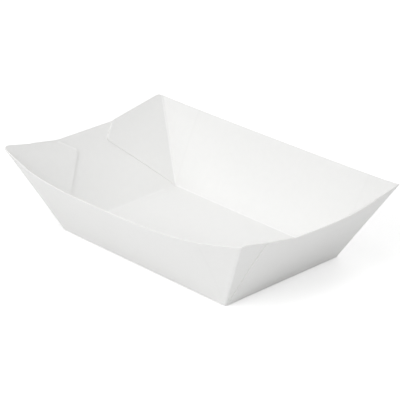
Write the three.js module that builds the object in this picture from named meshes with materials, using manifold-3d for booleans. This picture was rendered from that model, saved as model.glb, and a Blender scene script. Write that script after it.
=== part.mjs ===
// Paper food tray: one sheet of white paperboard, creased, folded up and glued at its four corners.
//
// Each side wall runs on round both corners into a glue flap. The flaps lie inside the end panels,
// which fold up from the base and are only as wide as it, so a narrow strip of flap shows beside them.
// The walls spring outwards between the corners and their free edges dip.
//
// Millimetres. X along the tray, Y across it, Z up. The origin is the middle of the underside.

import * as THREE from 'three';
import { mergeVertices } from 'three/addons/utils/BufferGeometryUtils.js';
import Module from 'manifold-3d';

const wasm = await Module();
wasm.setup();

// Driving sizes
const board = 0.5;
const foldRadius = 1.6;
const flatLength = 148.5;
const flatWidth = 96;
const mouthLength = 211;
const mouthWidth = 132;
const cornerHeight = 54;
const sideBow = 12;
const sideDip = 3.3;
const sidePower = 3;
const endBow = 4.9;
const endPower = 2;
const endPanelHeight = 54.7;
const panelCornerRadius = 7;
const panelSlit = 0.4;
const flapLip = 1.2;
const tipRise = 1.5;
const tipBevel = 4;
const flapTopGap = 47;
const flapTipGap = 25;
const flapTipHeight = 44.3;
const flapTipRadius = 2.5;
const glueBite = 0.1;

// How finely the sheet is faceted
const sideSteps = 30;
const endSteps = 16;
const cornerSteps = 5;
const bendSteps = 4;
const wallSteps = 5;
const panelSteps = 26;
const tipSteps = 5;

const boardWhite = 0xf3f3f1;

// Places worked out from the sizes
const innerRadius = foldRadius - board;
const flapDepth = board - glueBite;
const up = new THREE.Vector3(0, 0, 1);
const down = new THREE.Vector3(0, 0, -1);

/** Adds to a wall's sizes the centre line of its bottom fold and the line that climbs from it. */
function makeWall(sizes) {
  const foot = sizes.out.clone().multiplyScalar(sizes.flatReach).addScaledVector(up, foldRadius);
  const head = sizes.out.clone().multiplyScalar(sizes.mouthReach).addScaledVector(up, cornerHeight);
  const rise = head.sub(foot);
  return {
    ...sizes,
    foot,
    rise,
    slant: rise.length(),
    face: new THREE.Vector3().crossVectors(sizes.along, rise).normalize(),
  };
}

function sideWall(sign) {
  const wall = makeWall({
    out: new THREE.Vector3(0, sign, 0),
    along: new THREE.Vector3(-sign, 0, 0),
    flatReach: flatWidth / 2,
    flatHalf: flatLength / 2,
    mouthReach: mouthWidth / 2,
    mouthHalf: mouthLength / 2,
    bow: sideBow,
    power: sidePower,
    depth: 0,
  });
  wall.rim = (t) => 1 - (sideDip / wall.slant) * (1 - Math.abs(t) ** sidePower);
  return wall;
}

// The glue flaps are this layer of the end wall, a board further in than the panel, less the glue bite.
function endWall(sign) {
  const wall = makeWall({
    out: new THREE.Vector3(sign, 0, 0),
    along: new THREE.Vector3(0, sign, 0),
    flatReach: flatLength / 2,
    flatHalf: flatWidth / 2,
    mouthReach: mouthLength / 2,
    mouthHalf: mouthWidth / 2,
    bow: endBow,
    power: endPower,
    depth: flapDepth,
  });
  wall.rim = (t) => flapRimHeight(wall, Math.abs(t) * wall.mouthHalf) / wall.slant;
  return wall;
}

/** Height of the flap's free edge up the slant: it climbs from the flap's end to the tip, then falls. */
function flapRimHeight(wall, u) {
  const low = endPanelHeight + flapLip;
  const high = wall.slant + tipRise;
  const tip = wall.mouthHalf - tipBevel;
  if (u > tip) {
    return THREE.MathUtils.mapLinear(u, tip, wall.mouthHalf, high, wall.slant);
  }
  return THREE.MathUtils.mapLinear(Math.max(u, flapTopGap / 2), flapTopGap / 2, tip, low, high);
}

/** A point of the wall: t runs from -1 to 1 along it, and v from 0 at the base to 1 at the corners. */
function wallPoint(wall, t, v) {
  const half = THREE.MathUtils.lerp(wall.flatHalf, wall.mouthHalf, v);
  const spring = wall.bow * (1 - Math.abs(t) ** wall.power) * v;
  return wall.foot.clone()
    .addScaledVector(wall.rise, v)
    .addScaledVector(wall.along, t * half)
    .addScaledVector(wall.face, spring);
}

/** The outward normal of that surface. */
function wallNormal(wall, t, v) {
  const step = 1e-3;
  const along = wallPoint(wall, t + step, v).sub(wallPoint(wall, t - step, v));
  const rise = wallPoint(wall, t, v + step).sub(wallPoint(wall, t, v - step));
  return along.cross(rise).normalize();
}

/** Turns one unit vector towards another by a share of the angle between them. */
function turn(from, to, share) {
  const axis = new THREE.Vector3().crossVectors(from, to).normalize();
  return from.clone().applyAxisAngle(axis, from.angleTo(to) * share);
}

/** One upright line of the folded sheet, on a wall. */
function wallColumn(wall, t) {
  return {
    rim: wall.rim(t),
    depth: wall.depth,
    point: (v) => wallPoint(wall, t, v),
    normal: (v) => wallNormal(wall, t, v),
  };
}

/** One upright line of the folded sheet, on the rounded fold between two walls. */
function cornerColumn(wall, next, share) {
  return {
    rim: 1,
    depth: THREE.MathUtils.lerp(wall.depth, next.depth, share),
    point: (v) => wallPoint(wall, 1, v),
    normal: (v) => turn(wallNormal(wall, 1, v), wallNormal(next, -1, v), share),
  };
}

/** A point of the sheet: the first rows bend out of the base, the rest climb the wall. */
function sheetPoint(column, row, radius) {
  const foot = column.point(0);
  if (row <= bendSteps) {
    const share = row / bendSteps;
    const bent = turn(down, column.normal(0), share);
    return foot.addScaledVector(bent, radius - column.depth * share);
  }
  const v = ((row - bendSteps) / wallSteps) * column.rim;
  return column.point(v).addScaledVector(column.normal(v), radius - column.depth);
}

/** Closes the two faces of a sheet into a solid: point(i, j, face) has face 0 outside and face 1 inside. */
function thickSheet(columns, rows, point, wraps) {
  const positions = [];
  const index = [];
  const at = (i, j, face) => (face * rows + j) * columns + (i % columns);
  for (let face = 0; face < 2; face += 1) {
    for (let j = 0; j < rows; j += 1) {
      for (let i = 0; i < columns; i += 1) {
        positions.push(...point(i, j, face).toArray());
      }
    }
  }
  const quad = (a, b, c, d) => index.push(a, b, c, a, c, d);
  const spans = wraps ? columns : columns - 1;
  for (let i = 0; i < spans; i += 1) {
    for (let j = 0; j < rows - 1; j += 1) {
      quad(at(i, j, 0), at(i + 1, j, 0), at(i + 1, j + 1, 0), at(i, j + 1, 0));
      quad(at(i, j, 1), at(i, j + 1, 1), at(i + 1, j + 1, 1), at(i + 1, j, 1));
    }
    quad(at(i, rows - 1, 0), at(i + 1, rows - 1, 0), at(i + 1, rows - 1, 1), at(i, rows - 1, 1));
    if (!wraps) {
      quad(at(i, 0, 1), at(i + 1, 0, 1), at(i + 1, 0, 0), at(i, 0, 0));
    }
  }
  if (!wraps) {
    for (let j = 0; j < rows - 1; j += 1) {
      quad(at(0, j, 1), at(0, j, 0), at(0, j + 1, 0), at(0, j + 1, 1));
      const last = columns - 1;
      quad(at(last, j, 0), at(last, j, 1), at(last, j + 1, 1), at(last, j + 1, 0));
    }
  }
  const geometry = new THREE.BufferGeometry();
  geometry.setAttribute('position', new THREE.Float32BufferAttribute(positions, 3));
  geometry.setIndex(index);
  return geometry;
}

/** A closed geometry as a solid that can be joined and cut. */
function toSolid(geometry) {
  const bare = geometry.clone();
  bare.deleteAttribute('normal');
  bare.deleteAttribute('uv');
  const merged = mergeVertices(bare, 1e-4);
  const corners = merged.index.array;
  const kept = [];
  for (let k = 0; k < corners.length; k += 3) {
    const [a, b, c] = corners.slice(k, k + 3);
    if (a !== b && b !== c && c !== a) {
      kept.push(a, b, c);
    }
  }
  return new wasm.Manifold(new wasm.Mesh({
    numProp: 3,
    vertProperties: merged.attributes.position.array,
    triVerts: new Uint32Array(kept),
  }));
}

function fromSolid(solid) {
  const mesh = solid.getMesh();
  const geometry = new THREE.BufferGeometry();
  geometry.setAttribute('position', new THREE.Float32BufferAttribute(mesh.vertProperties, 3));
  geometry.setIndex([...mesh.triVerts]);
  const faceted = geometry.toNonIndexed();
  faceted.computeVertexNormals();
  return faceted;
}

/** Where a wall's upright lines stand: evenly along it, and on an end wall at both rim tips as well. */
function linePlaces(wall) {
  const even = (reach, steps) => Array.from({ length: steps + 1 }, (_, i) => reach * ((2 * i) / steps - 1));
  if (wall.depth === 0) {
    return even(1, sideSteps);
  }
  return [-1, ...even(1 - tipBevel / wall.mouthHalf, endSteps), 1];
}

/** Base, side walls and corner folds in one loop, with the flap layer running right across the ends. */
function wallLoop(walls) {
  const columns = [];
  walls.forEach((wall, k) => {
    const next = walls[(k + 1) % walls.length];
    columns.push(...linePlaces(wall).map((t) => wallColumn(wall, t)));
    for (let i = 1; i < cornerSteps; i += 1) {
      columns.push(cornerColumn(wall, next, i / cornerSteps));
    }
  });
  const radii = [foldRadius, innerRadius];
  const rows = bendSteps + wallSteps + 2;
  return thickSheet(columns.length, rows, (i, j, face) => {
    if (j === 0) {
      return new THREE.Vector3(0, 0, face * board);
    }
    return sheetPoint(columns[i], j - 1, radii[face]);
  }, true);
}

/** What lies between the two glue flaps of an end, as a block through the end wall. */
function flapGap(wall) {
  const above = 2 * wall.slant;
  const below = -foldRadius;
  const through = 2 * (endBow + foldRadius);
  const topHalf = flapTopGap / 2;
  const topHeight = flapRimHeight(wall, topHalf);
  const tip = new THREE.Vector2(flapTipGap / 2, flapTipHeight);
  const shoulder = new THREE.Vector2(topHalf, topHeight).sub(tip).setLength(flapTipRadius).add(tip);
  const shank = new THREE.Vector2(flatWidth / 2, 0).sub(tip).setLength(flapTipRadius).add(tip);
  const outline = new THREE.Shape();
  outline.moveTo(flatWidth / 2, below);
  outline.lineTo(flatWidth / 2, 0);
  outline.lineTo(shank.x, shank.y);
  outline.quadraticCurveTo(tip.x, tip.y, shoulder.x, shoulder.y);
  outline.lineTo(topHalf, topHeight);
  outline.lineTo(topHalf, above);
  outline.lineTo(-topHalf, above);
  outline.lineTo(-topHalf, topHeight);
  outline.lineTo(-shoulder.x, shoulder.y);
  outline.quadraticCurveTo(-tip.x, tip.y, -shank.x, shank.y);
  outline.lineTo(-flatWidth / 2, 0);
  outline.lineTo(-flatWidth / 2, below);
  outline.closePath();
  const block = new THREE.ExtrudeGeometry(outline, {
    depth: through,
    bevelEnabled: false,
    curveSegments: tipSteps,
  });
  block.translate(0, 0, -foldRadius);
  const upSlant = wall.rise.clone().normalize();
  const frame = new THREE.Matrix4().makeBasis(wall.along, upSlant, wall.face).setPosition(wall.foot);
  return block.applyMatrix4(frame);
}

/** The strip, as wide as the base, that folds up into both end panels, with rounded upper corners. */
function panelStrip(ends) {
  const half = flatWidth / 2 - panelSlit;
  const top = (wall, u) => {
    const inset = Math.min(panelCornerRadius, half - Math.abs(u));
    const round = panelCornerRadius - Math.sqrt(inset * (2 * panelCornerRadius - inset));
    return (flapRimHeight(wall, Math.abs(u)) - flapLip - round) / wall.slant;
  };
  const column = (wall, u) => {
    const t = (v) => u / THREE.MathUtils.lerp(wall.flatHalf, wall.mouthHalf, v);
    return {
      rim: top(wall, u),
      depth: 0,
      point: (v) => wallPoint(wall, t(v), v),
      normal: (v) => wallNormal(wall, t(v), v),
    };
  };
  const radii = [foldRadius, innerRadius];
  const reach = bendSteps + wallSteps;
  return thickSheet(panelSteps + 1, 2 * (reach + 1), (i, j, face) => {
    const y = half * -Math.cos((Math.PI * i) / panelSteps);
    const right = j > reach;
    const wall = right ? ends[0] : ends[1];
    const u = y * wall.along.y;
    return sheetPoint(column(wall, u), right ? j - reach - 1 : reach - j, radii[face]);
  }, false);
}

const right = endWall(1);
const left = endWall(-1);
const walls = [sideWall(-1), right, sideWall(1), left];

const tray = toSolid(wallLoop(walls))
  .subtract(toSolid(flapGap(right)))
  .subtract(toSolid(flapGap(left)))
  .add(toSolid(panelStrip([right, left])));

const material = new THREE.MeshStandardMaterial({ color: boardWhite, roughness: 0.6, metalness: 0 });
const mesh = new THREE.Mesh(fromSolid(tray), material);
mesh.name = 'food_tray';

const group = new THREE.Group();
group.add(mesh);

export default group;
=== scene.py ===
"""Paper food tray: one creased sheet of white board, folded up and glued at its four corners.

The sheet is worked out once, as a surface with a place for its outside and its inside at every point.
Sizes are in metres, in the part's own frame: x along the tray, y across it, z up from the underside.
"""
import math

import bpy
import numpy as np
from mathutils import Matrix, Vector


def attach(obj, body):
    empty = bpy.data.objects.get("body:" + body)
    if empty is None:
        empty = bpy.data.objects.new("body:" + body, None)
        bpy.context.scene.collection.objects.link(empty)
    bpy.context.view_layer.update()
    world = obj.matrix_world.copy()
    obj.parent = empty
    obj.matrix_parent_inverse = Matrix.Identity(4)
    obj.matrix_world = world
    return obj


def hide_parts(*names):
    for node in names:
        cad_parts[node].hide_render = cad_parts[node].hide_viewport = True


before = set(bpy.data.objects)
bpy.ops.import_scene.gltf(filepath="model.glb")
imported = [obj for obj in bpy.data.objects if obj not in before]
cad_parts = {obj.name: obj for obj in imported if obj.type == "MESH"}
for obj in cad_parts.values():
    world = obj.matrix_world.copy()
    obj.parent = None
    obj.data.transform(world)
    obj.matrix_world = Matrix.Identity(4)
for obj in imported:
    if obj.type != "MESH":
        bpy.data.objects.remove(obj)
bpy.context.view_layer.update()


# The folded sheet
# White paperboard, creased on a die and folded up. Both long walls run on round the corners into glue
# flaps, and these are glued inside the two end panels, which are only as wide as the base.

BOARD = 0.0005  # the board's thickness
FOLD = 0.0016  # radius of every fold, from its centre line to its outside
FLAT = (0.1485, 0.096)  # the flat base between its creases, along x and along y
MOUTH = (0.2078, 0.1305)  # between the rim's corners, by the centre lines of their folds
CORNER_HEIGHT = 0.054
SIDE_BOW = 0.012  # how far the middle of a long wall's rim springs out
SIDE_POWER = 3.0
SIDE_DIP = 0.0033  # how far that middle dips, down the slant
END_BOW = 0.0049
END_POWER = 2.0
SCORE_HALF = 0.075  # from the middle of a long wall's rim to each of its score lines
# A score line's painted shade: its width, and the share of the climb over which it fades in
SCORE_SHADE_WIDTH = 0.0005
SCORE_SHADE_FADE = 0.125  # share of the climb over which a score line fades in
PANEL_HEIGHT = 0.0547  # an end panel up its slant, between the flaps
PANEL_CORNER = 0.0035  # radius of its upper corners
PANEL_SLIT = 0.0004  # how far each of its sides stays off the corner fold at the foot
PANEL_TAPER = 0.0012  # and how much further it has gone in at the rim
FLAP_LIP = 0.0003  # how far a flap's rim shows above its panel's
TIP_RISE = 0.0017  # how far the flap's rim line climbs past the long wall's at the corner
TIP_ROUND = 0.0045  # length of the rounded tip there
TIP_STEEP = 0.00045  # how far the tip leans inwards before it rounds
FLAP_TOP_GAP = 0.047  # between the ends of an end's two flaps, at the rim
FLAP_CORNER_GAP = 0.025  # between their inner corners
FLAP_CORNER_HEIGHT = 0.0443  # those corners up the slant
FLAP_CORNER_ROUND = 0.0025  # how far from those corners their rounds start
LAP = 0.00036  # a flap's face behind its panel's: the glue presses the two boards into each other
LIFT_REACH = 0.04  # how far from the corner fold a flap stands off by its whole lift
BEAD = 0.0002  # how far a crease swells inwards
# An end panel's bottom crease swells less, and carries less painted highlight, than the other folds
END_CREASE = 0.25  # how strong an end panel's bottom crease is beside the others
RACK = 0.031  # how far out of square the rim stands
UP = np.array([0.0, 0.0, 1.0])
DOWN = -UP

# How finely the sheet is divided
BEND_ROWS = 8
WALL_ROWS = 36
CORNER_COLUMNS = 8
MIDDLE_COLUMNS = 96
OUTER_COLUMNS = 20
END_COLUMNS = 56
FLAP_RIM_POINTS = 24
FLAP_END_POINTS = 7
TIP_STEPS = 8
FLAP_CORNER_STEPS = 6


def unit(v):
    """Each vector over its length."""
    return v / np.linalg.norm(v, axis=-1, keepdims=True)


def turned(a, b, share):
    """Unit vectors on the arc from a to b, at a share of its angle w.

    (sin((1 - share) w) a + sin(share w) b) / sin(w).
    """
    angle = np.arccos(np.clip((a * b).sum(-1, keepdims=True), -1, 1))
    return (np.sin((1 - share) * angle) * a + np.sin(share * angle) * b) / np.sin(angle)


class Wall:
    """One wall by the centre line of its folds: it climbs from its foot, and springs out along its face."""

    def __init__(self, out, along, flat, mouth, bow, power, score_half):
        """The foot is half the flat base out and a fold's radius up, and the rise goes on to the rim.

        flat and mouth give first the size that the wall stands across, and then the one along it.
        """
        self.along = np.array(along, float)
        self.flat_half = flat[1] / 2
        self.mouth_half = mouth[1] / 2
        self.foot = np.array(out) * flat[0] / 2 + UP * FOLD
        self.rise = np.array(out) * mouth[0] / 2 + UP * CORNER_HEIGHT - self.foot
        self.slant = np.linalg.norm(self.rise)
        self.face = unit(np.cross(self.along, self.rise))
        self.bow = bow
        self.power = power
        self.score_half = score_half

    def half(self, v):
        """Half of the wall's length at the share v of its climb: flat_half + (mouth_half - flat_half) v."""
        return self.flat_half + (self.mouth_half - self.flat_half) * v

    def score(self, v):
        """|t| of the upright score line, which leaves the base corner and leans out a little.

        (flat_half + (score_half - flat_half) v) / half(v), and 1 where the wall has no score.
        """
        return np.minimum((self.flat_half + (self.score_half - self.flat_half) * v) / self.half(v), 1)

    def point(self, t, v):
        """The point at t, from -1 to 1 along the wall, and the share v of its climb.

        foot + v rise + t half(v) along + v bow b(t) face. Here b is 1 - |t|^power up to the score, and
        falls from there in a straight line, to 0 at the wall's end.
        """
        t, v = np.broadcast_arrays(np.asarray(t, float), np.asarray(v, float))
        score = self.score(v)
        reach = np.abs(t)
        straight = (1 - score ** self.power) * (1 - reach) / np.maximum(1 - score, 1e-9)
        spring = self.bow * v * np.where(reach < score, 1 - reach ** self.power, straight)
        return (self.foot + v[..., None] * self.rise + (t * self.half(v))[..., None] * self.along
                + spring[..., None] * self.face)

    def normal(self, t, v, step=1e-3):
        """The cross product of the surface's differences along t and along v, over its length."""
        t, v = np.broadcast_arrays(np.asarray(t, float), np.asarray(v, float))
        along = self.point(t + step, v) - self.point(t - step, v)
        rise = self.point(t, v + step) - self.point(t, v - step)
        return unit(np.cross(along, rise))

    def flat_to_wall(self, u, s):
        """u along the wall and s up its slant, in metres, as t = u / half(v) and v = s / slant."""
        v = np.asarray(s, float) / self.slant
        return u / self.half(v), v


def side_wall(sign):
    """The long wall at y = sign half the base, with t to the right as seen from outside."""
    flat, mouth = (FLAT[1], FLAT[0]), (MOUTH[1], MOUTH[0])
    return Wall((0, sign, 0), (-sign, 0, 0), flat, mouth, SIDE_BOW, SIDE_POWER, SCORE_HALF)


def end_wall(sign):
    """The end wall at x = sign half the base, with t likewise. A score past its ends never shows."""
    no_score = MOUTH[1]
    return Wall((sign, 0, 0), (0, sign, 0), FLAT, MOUTH, END_BOW, END_POWER, no_score)


def flap_rim(wall, u, drop=0.0):
    """A flap's rim up the slant at u: a straight line from the flap's end, sunk by drop, to the corner."""
    low = PANEL_HEIGHT + FLAP_LIP - drop
    return np.interp(np.abs(u), [FLAP_TOP_GAP / 2, wall.mouth_half], [low, wall.slant + TIP_RISE])


def both_faces(centre, normal, depth, crease):
    """The outside, the inside and the crease of the sheet, as seven numbers a point.

    The outside is centre + normal (FOLD - depth). The inside lies a board further in, and further still
    by the bead where the crease is above 0. The material paints a highlight where it is above 0 and shade
    where it is below.
    """
    depth, crease = np.broadcast_arrays(np.asarray(depth, float), np.asarray(crease, float))
    outside = centre + normal * (FOLD - depth)[..., None]
    inside = centre + normal * (FOLD - BOARD - depth - BEAD * np.maximum(crease, 0))[..., None]
    return np.concatenate([outside, inside, crease[..., None]], axis=-1)


def bend_grid(centre, normal, depth):
    """Rows round a bottom fold: the normal turns from down to the wall's own, by equal angles.

    At the share k of the turn the depth is k of its whole, and the crease is sin(pi k).
    """
    share = np.linspace(0, 1, BEND_ROWS + 1)[:, None]
    normals = turned(DOWN + 0 * normal[None], normal[None], share[..., None])
    crease = np.sin(math.pi * share) + 0 * normals[..., 0]
    return both_faces(centre[None] + 0 * normals, normals, share * depth, crease)


def side_sheet(sign):
    """A long wall: columns spread evenly up to each score and past it.

    v goes up to 1 - dip (1 - |t|^power) at the rim. The score's crease is -exp(-(distance / width)^2),
    which paints shade along it.
    """
    wall = side_wall(sign)
    middle = np.linspace(-1, 1, MIDDLE_COLUMNS + 1)
    outer = np.linspace(0, 1, OUTER_COLUMNS + 1)[1:]
    inner_share = np.concatenate([0 * outer - 1, middle, 0 * outer + 1])
    outer_share = np.concatenate([-outer[::-1], 0 * middle, outer])

    def place(v):
        """t of every column at v: its inner share of the score, and its outer share of what is past it."""
        score = wall.score(v)
        return inner_share * score + outer_share * (1 - score)

    rim = 1 - SIDE_DIP / wall.slant * (1 - np.abs(place(np.ones(1))) ** SIDE_POWER)
    v = np.linspace(0, 1, WALL_ROWS + 1)[:, None] * rim
    t = place(v)
    off_score = (np.abs(t) - wall.score(v)) * wall.half(v)
    # Painted shade along each score line
    score_shade = np.exp(-(off_score / SCORE_SHADE_WIDTH) ** 2) * np.minimum(v / SCORE_SHADE_FADE, 1)
    upright = both_faces(wall.point(t, v), wall.normal(t, v), 0 * v, -score_shade)
    bend = bend_grid(wall.point(t[0], 0), wall.normal(t[0], 0), 0 * t[0])
    return np.concatenate([bend, upright[1:]])


def corner_sheet(wall, wall_t, end, end_t):
    """A corner fold: the normal turns from the long wall's to the end wall's, by equal angles.

    It turns on the line where the two walls meet, and the sheet sinks by LAP in step with the turn.
    """
    share = np.linspace(0, 1, CORNER_COLUMNS + 1)
    depth = share * LAP
    v = np.linspace(0, 1, WALL_ROWS + 1)[:, None]
    line = wall.point(wall_t, v)
    normal = turned(wall.normal(wall_t, v), end.normal(end_t, v), share[None, :, None])
    bend = bend_grid(line[0] + 0 * normal[0], normal[0], depth)
    crease = np.sin(math.pi * share)[None] + 0 * v
    upright = both_faces(line + 0 * normal, normal, depth[None] + 0 * v, crease)
    return np.concatenate([bend, upright[1:]])


def curve(a, b, c, steps):
    """The curve (1 - k)^2 a + 2 k (1 - k) b + k^2 c: from a to c, leaving towards b and coming from it."""
    k = np.linspace(0, 1, steps + 1)[:, None]
    return (1 - k) ** 2 * np.array(a) + 2 * k * (1 - k) * np.array(b) + k ** 2 * np.array(c)


def flap_outline(wall, drop):
    """A flap's free edges as (u, s) on its wall: straight lines, with a curve at the tip and the corner.

    They go up round the tip, along the rim to the flap's end, and down to its rounded inner corner.
    """
    rim_u = np.linspace(wall.mouth_half - TIP_ROUND, FLAP_TOP_GAP / 2, FLAP_RIM_POINTS)
    rim = np.stack([rim_u, flap_rim(wall, rim_u, drop)], 1)
    top = wall.mouth_half, wall.slant
    tip = curve(top, (top[0] - TIP_STEEP, top[1] + TIP_RISE), rim[0], TIP_STEPS)[:-1]
    corner = np.array([FLAP_CORNER_GAP / 2, FLAP_CORNER_HEIGHT])
    shoulder = corner + unit(rim[-1] - corner) * FLAP_CORNER_ROUND
    shank = corner + unit(np.array([wall.flat_half, 0]) - corner) * FLAP_CORNER_ROUND
    end = np.linspace(rim[-1], shoulder, FLAP_END_POINTS)[1:-1]
    return np.concatenate([tip, rim, end, curve(shoulder, corner, shank, FLAP_CORNER_STEPS)])


def flap_sheet(end, end_t, lift, drop):
    """A glue flap: straight rays from the base corner to its free edges, on the end wall's surface.

    It lies LAP + lift sqrt(distance from the fold / LIFT_REACH) behind the panel's face. Its end edge has a
    crease of 1, which swells it and paints a highlight along it.
    """
    outline = flap_outline(end, drop)
    rows = np.linspace(0, 1, WALL_ROWS + 1)[:, None]
    u = end.flat_half + (outline[:, 0] - end.flat_half) * rows
    t, v = end.flat_to_wall(u, outline[:, 1] * rows)
    t = np.minimum(t, 1)
    depth = LAP + lift * np.sqrt((1 - t) * end.half(v) / LIFT_REACH)
    on_end = (outline[:, 0] <= FLAP_TOP_GAP / 2) & (outline[:, 1] >= FLAP_CORNER_HEIGHT)
    # Painted highlight along the flap's end edge, with a crease's bead
    highlit_end_edge = (rows == 1) * on_end
    return both_faces(end.point(t * end_t, v), end.normal(t * end_t, v), depth, highlit_end_edge)


def end_panel(sign):
    """An end panel: as wide as the base at its foot, a little narrower at its rim.

    The rim is a lip below the flaps', less r - sqrt(inset (2 r - inset)) in its corners of radius r.
    """
    wall = end_wall(sign)
    share = -np.cos(np.linspace(0, math.pi, END_COLUMNS + 1))
    foot_half = wall.flat_half - PANEL_SLIT
    top_half = foot_half - PANEL_TAPER
    inset = np.minimum(PANEL_CORNER, top_half * (1 - np.abs(share)))
    rounded = PANEL_CORNER - np.sqrt(inset * (2 * PANEL_CORNER - inset))
    top = flap_rim(wall, top_half * share) - FLAP_LIP - rounded
    turn = np.linspace(0, 1, BEND_ROWS + 1)[:, None]
    centre = wall.foot + (share * (wall.flat_half - PANEL_SLIT * turn))[..., None] * wall.along
    normals = turned(DOWN + 0 * centre, wall.normal(share, 0)[None], turn[..., None])
    bend = both_faces(centre, normals, 0, END_CREASE * np.sin(math.pi * turn) + 0 * share)
    climb = np.linspace(0, 1, WALL_ROWS + 1)[:, None]
    t, v = wall.flat_to_wall(share * (foot_half - PANEL_TAPER * climb), climb * top)
    upright = both_faces(wall.point(t, v), wall.normal(t, v), 0, 0 * v)
    return np.concatenate([bend, upright[1:]])


def base_sheet():
    """The flat base between the creases: x at the long walls' columns, y at the end panels'."""
    x = np.linspace(-1, 1, MIDDLE_COLUMNS + 1) * FLAT[0] / 2
    y = FLAT[1] / 2 * np.cos(np.linspace(0, math.pi, END_COLUMNS + 1))
    gx, gy = np.meshgrid(x, y)
    low = np.stack([gx, gy, 0 * gx], -1)
    return np.concatenate([low, low + UP * BOARD, 0 * low[..., :1]], axis=-1)


def racked(points):
    """Leans the rim's corners: x gains k y and y gains k x, where k is RACK z / CORNER_HEIGHT."""
    share = RACK * points[..., 2] / CORNER_HEIGHT
    x = points[..., 0] + share * points[..., 1]
    y = points[..., 1] + share * points[..., 0]
    return np.stack([x, y, points[..., 2]], -1)


# At each corner: which long wall, which end, the flap's lift off its panel, and the drop of its rim's end
CORNERS = (
    (-1, 1, 0.0, 0.0002),
    (1, -1, 0.0002, 0.0),
    (1, 1, 0.0002, 0.0004),
    (-1, -1, 0.0008, 0.0018),
)


def sheet_grids():
    """All the grids of the sheet, each (rows, columns, seven numbers), with every outside facing out."""
    grids = [base_sheet(), side_sheet(-1), side_sheet(1), end_panel(1), end_panel(-1)]
    for side, end, lift, drop in CORNERS:
        after = -side * end
        long_wall, short_wall = side_wall(side), end_wall(end)
        fold = corner_sheet(long_wall, after, short_wall, -after)
        flap = flap_sheet(short_wall, -after, lift, drop)
        grids += [fold[:, ::after], flap[:, ::after]]
    return grids


WELD_STEPS = 1e7  # steps to a metre: points that round to the same step are one


def close_sheet(grids, name):
    """One closed mesh of all the grids.

    Points that agree on both faces become one. The outside's quads are repeated for the inside, turned
    over, and a quad across the board closes every edge that only one quad uses. A quad with two corners
    in one point becomes a triangle, and one with fewer than three corners is dropped. The points are
    racked last.
    """
    quads, start = [], 0
    for grid in grids:
        rows, columns = grid.shape[:2]
        at = start + np.arange(rows * columns).reshape(rows, columns)
        quads.append(np.stack([at[:-1, :-1], at[:-1, 1:], at[1:, 1:], at[1:, :-1]], -1).reshape(-1, 4))
        start += rows * columns
    points = np.concatenate([grid.reshape(-1, grid.shape[-1]) for grid in grids])
    places, crease = points[:, :-1], points[:, -1]
    keys = np.round(places * WELD_STEPS).astype(np.int64)
    _, first, label = np.unique(keys, axis=0, return_index=True, return_inverse=True)
    outside, inside = np.split(places[first], 2, axis=1)
    quads = label.reshape(-1)[np.concatenate(quads)]
    count = len(first)

    edges = np.stack([quads, np.roll(quads, -1, axis=1)], -1).reshape(-1, 2)
    edges = edges[edges[:, 0] != edges[:, 1]]
    codes = edges[:, 0] * count + edges[:, 1]
    free = edges[~np.isin(codes, edges[:, 1] * count + edges[:, 0])]
    rims = np.stack([free[:, 1], free[:, 0], free[:, 0] + count, free[:, 1] + count], -1)

    corners = np.concatenate([quads, quads[:, ::-1] + count, rims])
    cut = np.repeat([0.0, 0.0, 1.0], [len(quads), len(quads), len(rims)])
    repeated = corners == np.roll(corners, 1, axis=1)
    whole, short = repeated.sum(axis=1) == 0, repeated.sum(axis=1) == 1
    triangles = corners[short][~repeated[short]].reshape(-1, 3)

    mesh = bpy.data.meshes.new(name)
    leaning = racked(np.concatenate([outside, inside]))
    mesh.from_pydata(leaning.tolist(), [], corners[whole].tolist() + triangles.tolist())
    cut = np.concatenate([cut[whole], cut[short]])
    mesh.attributes.new("cut_edge", "FLOAT", "FACE").data.foreach_set("value", cut)
    # The crease goes to the material, which paints a highlight where it is above 0 and shade where it is
    # below
    mesh.attributes.new("crease", "FLOAT", "POINT").data.foreach_set("value", np.tile(crease[first], 2))
    mesh.update()
    return mesh


SHARP_ANGLE = math.radians(50)

tray_mesh = close_sheet(sheet_grids(), "tray_board")
tray_mesh.polygons.foreach_set("use_smooth", np.ones(len(tray_mesh.polygons), bool))
tray_mesh.set_sharp_from_angle(angle=SHARP_ANGLE)
tray = bpy.data.objects.new("tray_board", tray_mesh)
bpy.context.scene.collection.objects.link(tray)

BOARD_WHITE = (0.885, 0.885, 0.876, 1)
CLOUD_WHITE = (0.871725, 0.871725, 0.86286, 1)
# Painted highlight along every fold, and along the flaps' end edges
PAINTED_FOLD_HIGHLIGHT = (0.95, 0.95, 0.945, 1)
# Painted shade along the score lines on the long walls
PAINTED_SCORE_SHADE = (0.865, 0.865, 0.856, 1)
CUT_WHITE = (0.90, 0.895, 0.88, 1)
CLOUDS = {"Scale": 260.0, "Detail": 4.0, "Roughness": 0.6}
CLOUD_RANGE = (0.3, 0.7)
CLOUD_RELIEF = {"Strength": 0.1, "Distance": 0.0002}
FIBRES = {"Scale": 2200.0, "Detail": 3.0, "Roughness": 0.55}
FIBRE_RELIEF = {"Strength": 0.12, "Distance": 0.00005}
ROUGHNESS = (0.5, 0.62)
SHEEN = 0.35


def plug(tree, socket, value):
    """Gives a socket its value, which is a number, a colour or another node's output."""
    if isinstance(value, bpy.types.NodeSocket):
        tree.links.new(value, socket)
    else:
        socket.default_value = value


def node(tree, kind, **inputs):
    """A shader node with the named sockets plugged, where _ in a name stands for a space."""
    made = tree.nodes.new(kind)
    for name, value in inputs.items():
        plug(tree, made.inputs[name.replace("_", " ")], value)
    return made


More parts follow.
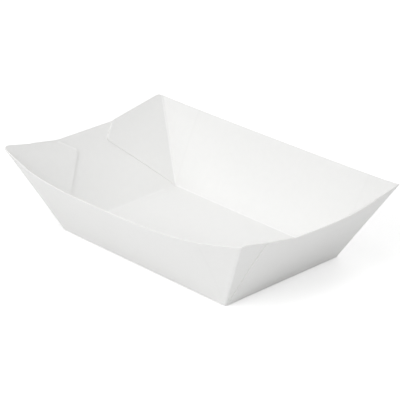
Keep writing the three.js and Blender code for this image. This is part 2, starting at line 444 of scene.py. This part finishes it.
def mix_colours(tree, share, first, second):
    """first (1 - share) + second share."""
    mix = tree.nodes.new("ShaderNodeMix")
    mix.data_type = "RGBA"
    share_socket, first_socket, second_socket, colour_output = 0, 6, 7, 2
    plug(tree, mix.inputs[share_socket], share)
    plug(tree, mix.inputs[first_socket], first)
    plug(tree, mix.inputs[second_socket], second)
    return mix.outputs[colour_output]


def spread(tree, value, start, end, first=0.0, last=1.0):
    """first + (last - first) (value - start) / (end - start), held between first and last."""
    made = node(tree, "ShaderNodeMapRange", Value=value, From_Min=start, From_Max=end,
                To_Min=first, To_Max=last)
    return made.outputs[0]


def kept_in_mesh(tree, name):
    """What the mesh keeps under this name, at the point that is shaded."""
    made = tree.nodes.new("ShaderNodeAttribute")
    made.attribute_name = name
    return made.outputs["Fac"]


def paperboard(name):
    """White board, a little cloudy as such board is, with fine fibres.

    The clouds mix CLOUD_WHITE and BOARD_WHITE. A crease from 0 to 1 mixes in the painted highlight of the
    folds, one from 0 to -1 mixes in the painted shade of the score lines, and the board's cut edges are
    CUT_WHITE.
    Clouds and fibres also raise the surface, and the clouds make it more or less rough.
    """
    made = bpy.data.materials.new(name)
    made.use_nodes = True
    tree = made.node_tree
    shader = tree.nodes["Principled BSDF"]
    place = tree.nodes.new("ShaderNodeTexCoord").outputs["Object"]
    clouds = node(tree, "ShaderNodeTexNoise", Vector=place, **CLOUDS).outputs["Fac"]
    fibres = node(tree, "ShaderNodeTexNoise", Vector=place, **FIBRES).outputs["Fac"]
    crease = kept_in_mesh(tree, "crease")
    colour = mix_colours(tree, spread(tree, clouds, *CLOUD_RANGE), CLOUD_WHITE, BOARD_WHITE)
    # Painted highlight along the folds, then painted shade along the score lines
    colour = mix_colours(tree, spread(tree, crease, 0.0, 1.0), colour, PAINTED_FOLD_HIGHLIGHT)
    colour = mix_colours(tree, spread(tree, crease, 0.0, -1.0), colour, PAINTED_SCORE_SHADE)
    colour = mix_colours(tree, kept_in_mesh(tree, "cut_edge"), colour, CUT_WHITE)
    relief = node(tree, "ShaderNodeBump", Height=fibres, **FIBRE_RELIEF).outputs[0]
    relief = node(tree, "ShaderNodeBump", Height=clouds, Normal=relief, **CLOUD_RELIEF).outputs[0]
    plug(tree, shader.inputs["Base Color"], colour)
    plug(tree, shader.inputs["Roughness"], spread(tree, clouds, *CLOUD_RANGE, *ROUGHNESS))
    plug(tree, shader.inputs["Specular IOR Level"], SHEEN)
    plug(tree, shader.inputs["Normal"], relief)
    return made


tray_mesh.materials.append(paperboard("white_board"))

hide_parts("food_tray")
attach(tray, "root")


# The floor
# A plain white sheet of studio paper, laid out flat a hair below the tray's underside. It keeps the tray's
# soft shadow, and its own glow, which only the camera sees, brings the rest of it up to pure white.

FLOOR_HALF = 40.0
FLOOR_TOP = -0.0002
FLOOR_CORNERS = ((-1, -1), (1, -1), (1, 1), (-1, 1))
FLOOR_WHITE = (0.92, 0.92, 0.92, 1)
FLOOR_GLOW = 0.3
PURE_WHITE = (1, 1, 1, 1)


def camera_sees(tree, others_see, it_sees):
    """it_sees for the rays that come from the camera, and others_see for every other ray."""
    rays = tree.nodes.new("ShaderNodeLightPath")
    mix = tree.nodes.new("ShaderNodeMixShader")
    plug(tree, mix.inputs[0], rays.outputs["Is Camera Ray"])
    plug(tree, mix.inputs[1], others_see)
    plug(tree, mix.inputs[2], it_sees)
    return mix.outputs[0]


floor_mesh = bpy.data.meshes.new("floor")
floor_points = [(x * FLOOR_HALF, y * FLOOR_HALF, FLOOR_TOP) for x, y in FLOOR_CORNERS]
floor_mesh.from_pydata(floor_points, [], [(0, 1, 2, 3)])
floor = bpy.data.objects.new("floor", floor_mesh)
bpy.context.scene.collection.objects.link(floor)

floor_paper = bpy.data.materials.new("floor_paper")
floor_paper.use_nodes = True
floor_tree = floor_paper.node_tree
floor_plain = node(floor_tree, "ShaderNodeBsdfDiffuse", Color=FLOOR_WHITE).outputs[0]
floor_glow = node(floor_tree, "ShaderNodeEmission", Color=PURE_WHITE, Strength=FLOOR_GLOW).outputs[0]
floor_seen = floor_tree.nodes.new("ShaderNodeAddShader")
plug(floor_tree, floor_seen.inputs[0], floor_plain)
plug(floor_tree, floor_seen.inputs[1], floor_glow)
floor_surface = camera_sees(floor_tree, floor_plain, floor_seen.outputs[0])
plug(floor_tree, floor_tree.nodes["Material Output"].inputs["Surface"], floor_surface)
floor_mesh.materials.append(floor_paper)


# The studio light
# Five large soft boxes stand round the tray and over it, the strongest in front. The surround lights the
# tray evenly from all sides, and the camera sees it as pure white.

SURROUND_STRENGTH = 0.35
SURROUND_SEEN = 1.0
LAMP_DISTANCE = 1.4
LAMP_SIZE = 0.8
# Each lamp's name, its degrees round from -y towards +x, its degrees up, and its watts
LAMPS = (
    ("front", 0, 34, 6.7),
    ("front_left", -45, 38, 3.4),
    ("right", 90, 38, 3.6),
    ("back", 180, 50, 3.7),
    ("top", 0, 88, 2.0),
)

world = bpy.data.worlds.new("studio")
bpy.context.scene.world = world
world.use_nodes = True
world_tree = world.node_tree
surround = world_tree.nodes["Background"]
plug(world_tree, surround.inputs["Color"], PURE_WHITE)
plug(world_tree, surround.inputs["Strength"], SURROUND_STRENGTH)
backdrop = node(world_tree, "ShaderNodeBackground", Color=PURE_WHITE, Strength=SURROUND_SEEN)
world_surface = camera_sees(world_tree, surround.outputs[0], backdrop.outputs[0])
plug(world_tree, world_tree.nodes["World Output"].inputs["Surface"], world_surface)

for name, azimuth, elevation, watts in LAMPS:
    lamp = bpy.data.lights.new(name, "AREA")
    lamp.size = LAMP_SIZE
    lamp.energy = watts
    around, above = math.radians(azimuth), math.radians(elevation)
    level = math.cos(above)
    away = Vector((math.sin(around) * level, -math.cos(around) * level, math.sin(above)))
    box = bpy.data.objects.new(name + "_box", lamp)
    box.location = away * LAMP_DISTANCE
    box.rotation_mode = "QUATERNION"
    box.rotation_quaternion = (-away).to_track_quat("-Z", "Y")
    bpy.context.scene.collection.objects.link(box)


# The camera
# It stands where the photograph was taken from, about a metre and a half away, and looks down at one
# corner of the tray through a long lens.

CAMERA_PLACE = (1.01654, -0.94872, 0.67261)
AZIMUTH = math.radians(46.942)
ELEVATION = math.radians(24.802)
ROLL = math.radians(-0.544)
FOCAL = 6.074  # in widths of the picture
SENSOR = 36.0
NEAREST = 0.05
FARTHEST = 100

lens = bpy.data.cameras.new("camera")
lens.sensor_width = SENSOR
lens.lens = FOCAL * SENSOR
lens.clip_start = NEAREST
lens.clip_end = FARTHEST
camera = bpy.data.objects.new("camera", lens)
camera.location = CAMERA_PLACE
turn = Matrix.Rotation(AZIMUTH, 3, "Z") @ Matrix.Rotation(math.pi / 2 - ELEVATION, 3, "X")
camera.rotation_mode = "QUATERNION"
camera.rotation_quaternion = (turn @ Matrix.Rotation(ROLL, 3, "Z")).to_quaternion()
bpy.context.scene.collection.objects.link(camera)
bpy.context.scene.camera = camera
bpy.context.scene.view_settings.view_transform = "Standard"
